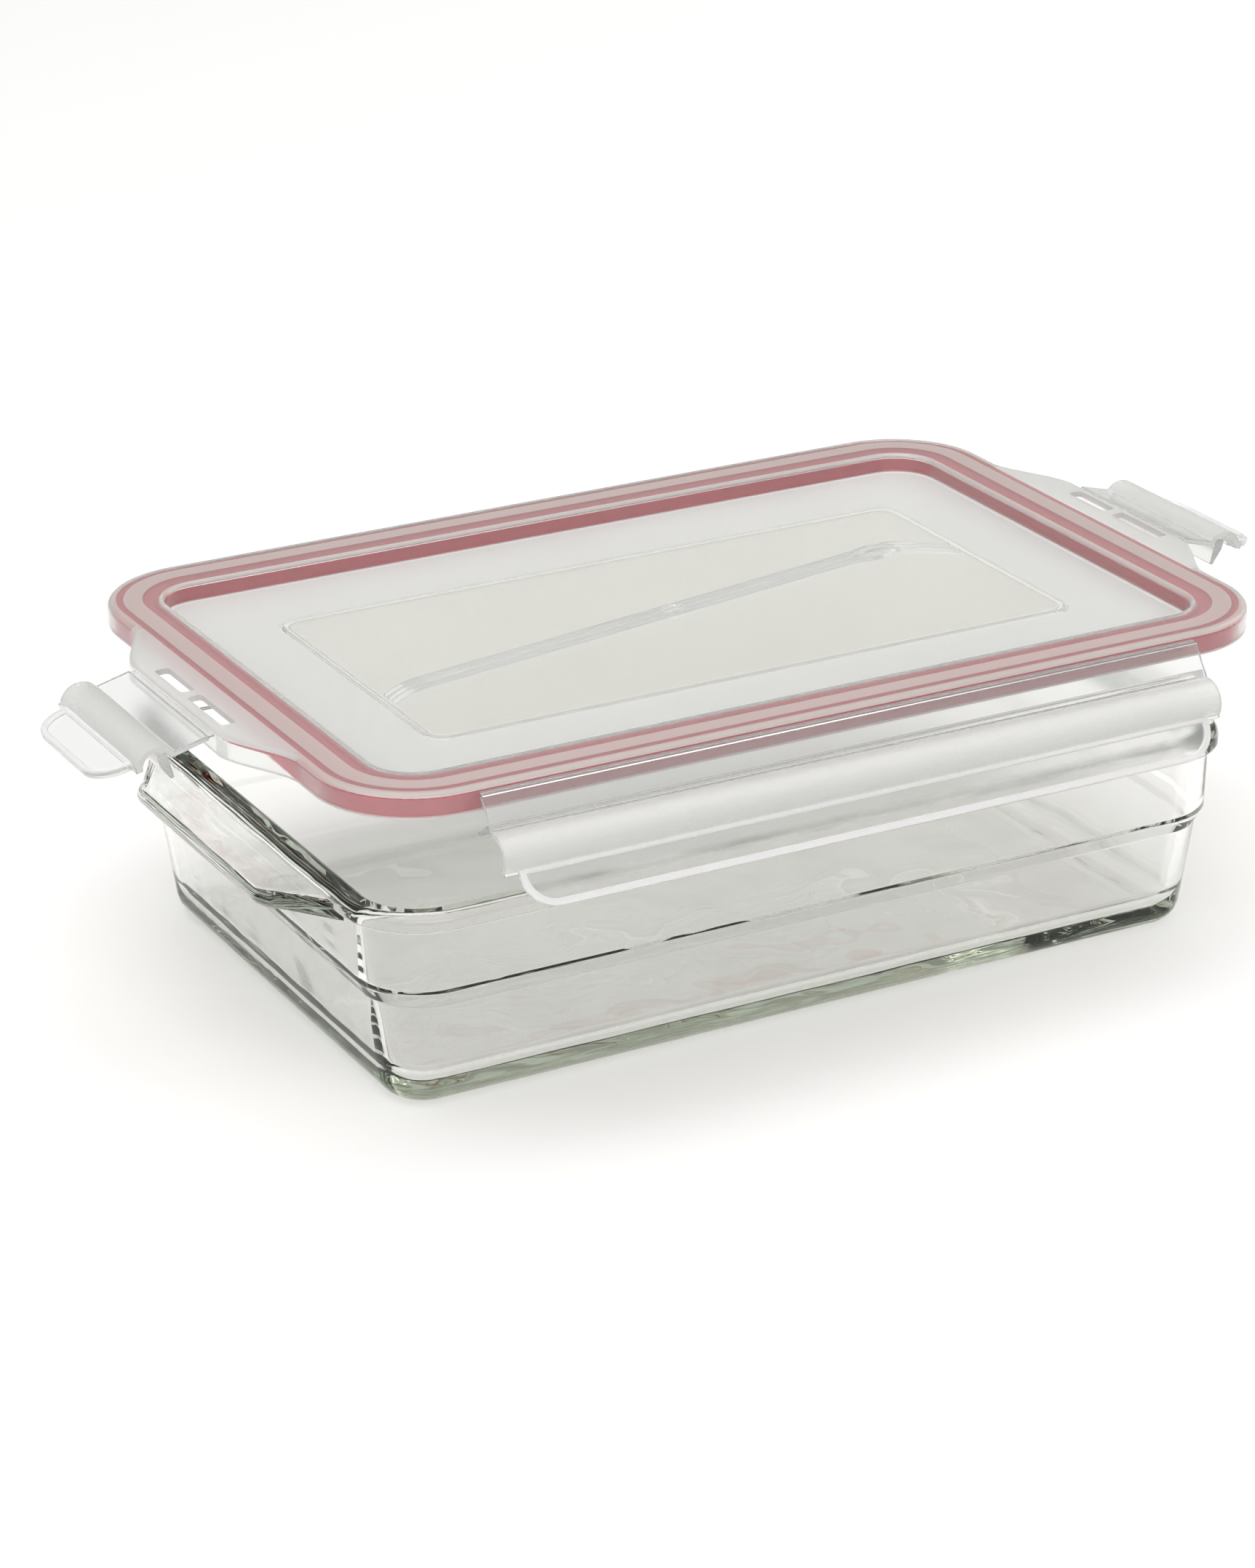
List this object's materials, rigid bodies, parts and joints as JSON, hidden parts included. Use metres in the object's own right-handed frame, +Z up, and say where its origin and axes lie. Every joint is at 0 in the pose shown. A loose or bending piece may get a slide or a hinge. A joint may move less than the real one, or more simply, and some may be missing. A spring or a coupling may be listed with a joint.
{
  "type": "snap lid food container",
  "caption": "Rectangular stepped glass baking dish with end lugs and a lift-off recessed plastic lid with hinged snap latches and a silicone gasket.",
  "frame": {"origin": "on the table under the middle of the dish", "axes": "+X along the dish's length, +Y across it towards the back latch, +Z up"},
  "size_m": [0.4012, 0.2494, 0.1047],
  "materials": {
    "dish_glass": "clear pressed soda-lime glass, smooth, faint green tint in thick edges",
    "lid_plastic": "translucent natural polypropylene, lightly frosted panel, glossy rim",
    "latch_plastic": "translucent natural polypropylene with a frosted hump",
    "hinge_plastic": "translucent natural polypropylene, thin and clear",
    "gasket_silicone": "coral silicone rubber"
  },
  "bodies": {
    "dish": {"glass_dish": "dish_glass"},
    "lid": {"lid_shell": "lid_plastic", "gasket": "gasket_silicone", "front_hinge_web": "hinge_plastic", "back_hinge_web": "hinge_plastic", "left_hinge_web": "hinge_plastic", "right_hinge_web": "hinge_plastic"},
    "front_flap": {"front_latch": "latch_plastic"},
    "back_flap": {"back_latch": "latch_plastic"},
    "left_flap": {"left_latch": "latch_plastic"},
    "right_flap": {"right_latch": "latch_plastic"}
  },
  "joints": [
    {"name": "lid_lift", "type": "slide", "parent": "dish", "child": "lid", "axis": [0, 0, 1], "range_m": [-0.035, 0.12]},
    {"name": "front_hinge", "type": "hinge", "parent": "lid", "child": "front_flap", "pos_m": [0, -0.1036, 0.1028], "axis": [-1, 0, 0], "range_deg": [-35, 85]},
    {"name": "back_hinge", "type": "hinge", "parent": "lid", "child": "back_flap", "pos_m": [0, 0.1036, 0.1028], "axis": [1, 0, 0], "range_deg": [-35, 85]},
    {"name": "left_hinge", "type": "hinge", "parent": "lid", "child": "left_flap", "pos_m": [-0.1665, 0, 0.1028], "axis": [0, 1, 0], "range_deg": [-75, 45]},
    {"name": "right_hinge", "type": "hinge", "parent": "lid", "child": "right_flap", "pos_m": [0.1665, 0, 0.1028], "axis": [0, -1, 0], "range_deg": [-75, 45]}
  ]
}
